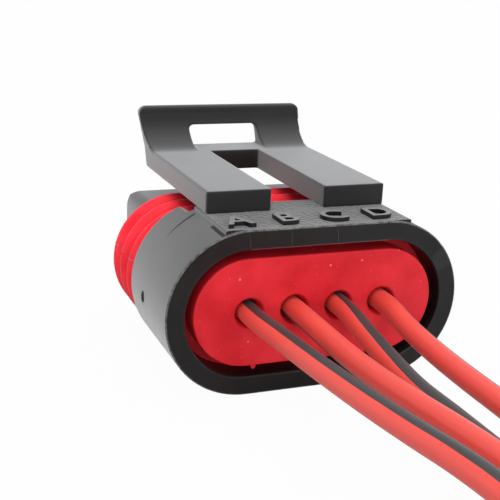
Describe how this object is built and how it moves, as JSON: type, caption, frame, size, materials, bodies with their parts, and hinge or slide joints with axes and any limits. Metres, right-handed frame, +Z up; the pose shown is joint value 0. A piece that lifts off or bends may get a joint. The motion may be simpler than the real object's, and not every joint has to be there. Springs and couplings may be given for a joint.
{
  "type": "sealed automotive connector",
  "caption": "Flat-oval sealed in-line connector with a window lever latch, rubber cable seal, ribbed ring seal and short crimped leads.",
  "frame": {"origin": "middle of the flat underside of the collar, on which the connector rests", "axes": "+X along the row of cavities, +Y the mating direction out of the nose, +Z up, away from the rest face"},
  "size_m": [0.0295, 0.1771, 0.0219],
  "materials": {
    "black_plastic": "satin black glass-filled plastic",
    "red_silicone": "soft matte red silicone",
    "red_seal": "soft satin red silicone",
    "terminal_metal": "tin-plated copper alloy",
    "insulation": "smooth red insulation with a black tracer",
    "copper": "bare stranded copper"
  },
  "bodies": {
    "housing": {"housing": "black_plastic", "cable_seal": "red_silicone", "ring_seal": "red_seal", "terminal_a": "terminal_metal", "terminal_b": "terminal_metal", "terminal_c": "terminal_metal", "terminal_d": "terminal_metal", "wire_a": "insulation", "wire_b": "insulation", "wire_c": "insulation", "wire_d": "insulation", "core_a": "copper", "core_b": "copper", "core_c": "copper", "core_d": "copper"},
    "latch": {"latch": "black_plastic"}
  },
  "joints": [
    {"name": "latch_lift", "type": "hinge", "parent": "housing", "child": "latch", "pos_m": [0, 0, 0.0156], "axis": [1, 0, 0], "range_deg": [0, 6], "stiffness_Nm_per_rad": 0.5}
  ]
}
